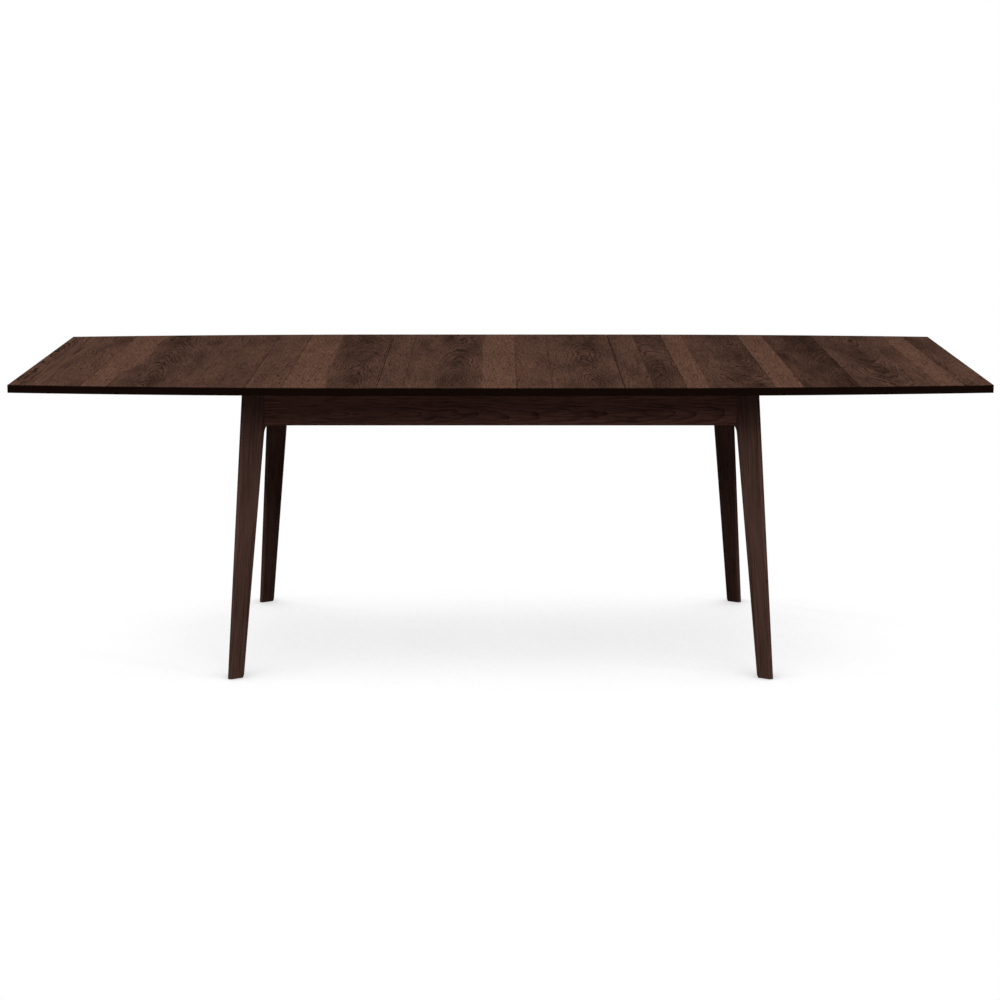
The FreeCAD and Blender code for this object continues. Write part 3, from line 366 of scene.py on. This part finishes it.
top_walnut = walnut_planks("stained_walnut_planks", ring=5.5, drift=9.0, lift=19.0, darkness=1.15)
apron_walnut = walnut_board("stained_walnut_apron", APRON_STAIN, along=X, across=Z, depth=Y,
                            heart=(675, 345), lean=APRON_LEAN, ring=5.0, drift=6.0, lift=5.0)
end_walnut = walnut_board("stained_walnut_end_apron", APRON_STAIN, along=Y, across=Z, depth=X,
                          heart=(675, 600), lean=APRON_LEAN, ring=5.0, drift=6.0, lift=5.0)
leg_walnut = walnut_board("stained_walnut_leg", LEG_STAIN, along=Z, across=X, depth=Y,
                          heart=(560, 250), lean=LEG_LEAN, ring=4.0, drift=3.0, lift=3.0)


# Beech, planed and oiled: pale and even, in soft bands with short dark flecks along the grain. Bands
# and flecks have a length along the grain and a width across it. Real flecks are finer: they are drawn
# this large so that they show.
BEECH_COLOURS = ("#C6A07A", "#A67C56")
DOWEL_COLOURS = ("#D3B48C", "#B8925F")
BEECH_BAND = (160.0, 9.0)
BEECH_FLECK = (7.0, 1.6)
BAND_LEVELS = (0.3, 0.7)
FLECK_LEVELS = (0.62, 0.75)
FLECK_DARKNESS = 0.5


def oiled_beech(name, along, colours):
    """Beech with its grain along one axis, in a pale and a dark colour."""
    material, tree = new_material(name)
    in_mm = place_in_mm(tree)
    patterns = []
    for (length, width), detail, roughness in ((BEECH_BAND, 4.0, 0.6), (BEECH_FLECK, 1.0, 0.5)):
        size = [width, width, width]
        size[along] = length
        spot = put(tree, "VectorMath", {0: in_mm, 1: size}, operation="DIVIDE")
        patterns.append(put(tree, "TexNoise", {"Vector": spot, "Scale": 1.0, "Detail": detail,
                                               "Roughness": roughness}))
    bands, flecks = patterns
    band = put(tree, "MapRange", {0: bands, 1: BAND_LEVELS[0], 2: BAND_LEVELS[1]})
    fleck = put(tree, "MapRange", {0: flecks, 1: FLECK_LEVELS[0], 2: FLECK_LEVELS[1],
                                   3: 0.0, 4: FLECK_DARKNESS})
    tone = put(tree, "Math", {0: band, 1: fleck}, operation="ADD", use_clamp=True)
    colour = put(tree, "Mix", {0: tone, 6: linear(colours[0]), 7: linear(colours[1])}, data_type="RGBA")
    relief = put(tree, "Bump", {"Height": flecks, "Strength": 0.15, "Distance": 0.0002})
    end_in_surface(tree, {"Base Color": colour, "Normal": relief, "Roughness": 0.55, "IOR": 1.5,
                          "Specular IOR Level": 0.3})
    return material


beech_x = oiled_beech("oiled_beech_lengthwise", X, BEECH_COLOURS)
beech_y = oiled_beech("oiled_beech_crosswise", Y, BEECH_COLOURS)
dowel_beech = oiled_beech("turned_beech_dowel", X, DOWEL_COLOURS)


# Steel, zinc plated: bluish bright grey, slightly cloudy
ZINC_COLOURS = ("#A9ACAF", "#C9C9C4")
ZINC_CLOUD = 3.85
ZINC_ROUGHNESS = (0.24, 0.46)


def zinc_plate():
    material, tree = new_material("zinc_plated_steel")
    cloud = put(tree, "TexNoise", {"Vector": place_in_mm(tree), "Scale": 1 / ZINC_CLOUD, "Detail": 3.0})
    roughness = put(tree, "MapRange", {0: cloud, 3: ZINC_ROUGHNESS[0], 4: ZINC_ROUGHNESS[1]})
    colour = put(tree, "Mix", {0: cloud, 6: linear(ZINC_COLOURS[0]), 7: linear(ZINC_COLOURS[1])},
                 data_type="RGBA")
    end_in_surface(tree, {"Base Color": colour, "Roughness": roughness, "Metallic": 1.0})
    return material


# Nylon, moulded and undyed: milky, with a faint grain from the mould, drawn coarse so that it shows
NYLON_COLOURS = ("#E4E0D2", "#D6D1C0")
NYLON_CLOUD = 11.1
NYLON_GRIT = 0.625


def natural_nylon():
    material, tree = new_material("natural_nylon")
    in_mm = place_in_mm(tree)
    cloud = put(tree, "TexNoise", {"Vector": in_mm, "Scale": 1 / NYLON_CLOUD, "Detail": 2.0})
    colour = put(tree, "Mix", {0: cloud, 6: linear(NYLON_COLOURS[0]), 7: linear(NYLON_COLOURS[1])},
                 data_type="RGBA")
    grit = put(tree, "TexNoise", {"Vector": in_mm, "Scale": 1 / NYLON_GRIT, "Detail": 2.0})
    relief = put(tree, "Bump", {"Height": grit, "Strength": 0.2, "Distance": 0.0001})
    end_in_surface(tree, {"Base Color": colour, "Normal": relief, "Roughness": 0.42, "IOR": 1.53,
                          "Subsurface Weight": 0.15, "Subsurface Scale": 0.002})
    return material


# Felt, pressed wool: matt, with matted fibres of several shades, drawn as tufts so that they show
FELT_COLOURS = ("#2A2320", "#4A403B")
FELT_FIBRE = 1.11


def pressed_felt():
    material, tree = new_material("pressed_felt")
    fibres = put(tree, "TexNoise", {"Vector": place_in_mm(tree), "Scale": 1 / FELT_FIBRE, "Detail": 4.0,
                                    "Distortion": 2.0})
    colour = put(tree, "Mix", {0: fibres, 6: linear(FELT_COLOURS[0]), 7: linear(FELT_COLOURS[1])},
                 data_type="RGBA")
    relief = put(tree, "Bump", {"Height": fibres, "Strength": 0.6, "Distance": 0.0003})
    end_in_surface(tree, {"Base Color": colour, "Normal": relief, "Roughness": 0.95, "Sheen Weight": 0.4,
                          "Specular IOR Level": 0.1})
    return material


fittings = {
    "zinc_steel": zinc_plate(),
    "nylon": natural_nylon(),
    "felt": pressed_felt(),
    "dowel_wood": dowel_beech,
}


def finish_of(name, slot):
    """Material of a piece by its slot and name. Wood has its grain along, across or up the table."""
    if slot == "slide_wood":
        return beech_y if name.endswith(("rail", "brace")) else beech_x
    if slot != "stained_wood":
        return fittings[slot]
    if name.endswith("leg"):
        return leg_walnut
    if name.endswith("end_apron"):
        return end_walnut
    if name.endswith("apron"):
        return apron_walnut
    return top_walnut


for entry in frame["record"]["subparts"]:
    mesh = frame["nodes"][entry["node"]].data
    mesh.materials.clear()
    mesh.materials.append(finish_of(entry["node"], entry["material_slot"]))


# Studio: a white floor and backdrop, and four pairs of softboxes. The floor lies just below the feet. It
# is seen white, and throws light back on the table as a grey one does.
WHITE = linear("#FFFFFF")
FLOOR_GREY = linear("#9C9C9C")
FLOOR_REACH = 30.0
FLOOR_GAP = 0.0005
DOME_STRENGTH = 0.005
# The shadow on the floor: how far the object casts it, the share of open sky at which it is darkest and
# at which it ends, and how bright the floor is where it is darkest.
SHADOW_REACH = 1.1
SHADOW_SKY = (0.406, 0.63)
SHADOW_LEVEL = 0.72
# Place of the right softbox of each pair, the side of its square and its power in watts.
SOFTBOXES = {
    "front": ((3.6, -4.2, 3.4), 2.2, 52),
    "high": ((3.2, -4.0, 4.8), 2.0, 54),
    "side": ((5.0, -1.8, 3.5), 2.0, 99),
    "back": ((3.6, 4.5, 3.0), 2.2, 42),
}
SOFTBOX_AIM = Vector((0, 0, 0.5))


def seen_rays(tree):
    """1 for rays by which the camera sees a thing itself, or in gloss or glass; 0 for those that light."""
    rays = put(tree, "LightPath").outputs
    direct = put(tree, "Math", {0: rays["Is Camera Ray"], 1: rays["Is Glossy Ray"]}, operation="MAXIMUM")
    return put(tree, "Math", {0: direct, 1: rays["Is Transmission Ray"]}, operation="MAXIMUM")


def white_floor():
    """A wide white floor with a soft shadow under the table."""
    mesh = bpy.data.meshes.new("floor")
    corners = [(x * FLOOR_REACH, y * FLOOR_REACH, 0) for x, y in ((-1, -1), (1, -1), (1, 1), (-1, 1))]
    mesh.from_pydata(corners, [], [(0, 1, 2, 3)])
    floor = bpy.data.objects.new("floor", mesh)
    floor.location.z = -FLOOR_GAP
    bpy.context.scene.collection.objects.link(floor)
    material, tree = new_material("white_studio_floor")
    lit = put(tree, "BsdfDiffuse", {"Color": FLOOR_GREY})
    open_sky = put(tree, "AmbientOcclusion", {"Distance": SHADOW_REACH}, samples=16).outputs["AO"]
    level = put(tree, "MapRange", {0: open_sky, 1: SHADOW_SKY[0], 2: SHADOW_SKY[1],
                                   3: SHADOW_LEVEL, 4: 1.0})
    seen = put(tree, "Emission", {"Color": WHITE, "Strength": level})
    surface = put(tree, "MixShader", {0: seen_rays(tree), 1: lit, 2: seen})
    put(tree, "OutputMaterial", {"Surface": surface})
    mesh.materials.append(material)


def studio_dome():
    """A backdrop that is seen white and hardly lights the table."""
    world = bpy.data.worlds.new("studio")
    bpy.context.scene.world = world
    world.use_nodes = True
    tree = world.node_tree
    tree.nodes.clear()
    level = put(tree, "MapRange", {0: seen_rays(tree), 3: DOME_STRENGTH, 4: 1.0})
    sky = put(tree, "Background", {"Color": WHITE, "Strength": level})
    put(tree, "OutputWorld", {"Surface": sky})


def softbox(name, place, size, power):
    """A square lamp that faces the table."""
    lamp = bpy.data.lights.new(name, "AREA")
    lamp.size = size
    lamp.energy = power
    holder = bpy.data.objects.new(name, lamp)
    holder.location = place
    holder.rotation_euler = (SOFTBOX_AIM - Vector(place)).to_track_quat("-Z", "Y").to_euler()
    bpy.context.scene.collection.objects.link(holder)


white_floor()
studio_dome()
for side, word in ((-1, "left"), (1, "right")):
    for kind, ((x, y, z), size, power) in SOFTBOXES.items():
        softbox(f"{word}_{kind}_softbox", (side * x, y, z), size, power)

# Camera, in front of the table and a little above it, tilted down
CAMERA_PLACE = (-0.0013, -6.184, 1.634)
CAMERA_TILT = 11.47
camera = bpy.data.cameras.new("camera")
camera.sensor_width = 36.0
camera.lens = 84.31
viewpoint = bpy.data.objects.new("camera", camera)
viewpoint.location = CAMERA_PLACE
viewpoint.rotation_euler = (math.radians(90 - CAMERA_TILT), 0, 0)
bpy.context.scene.collection.objects.link(viewpoint)
bpy.context.scene.camera = viewpoint
bpy.context.scene.view_settings.view_transform = "Standard"
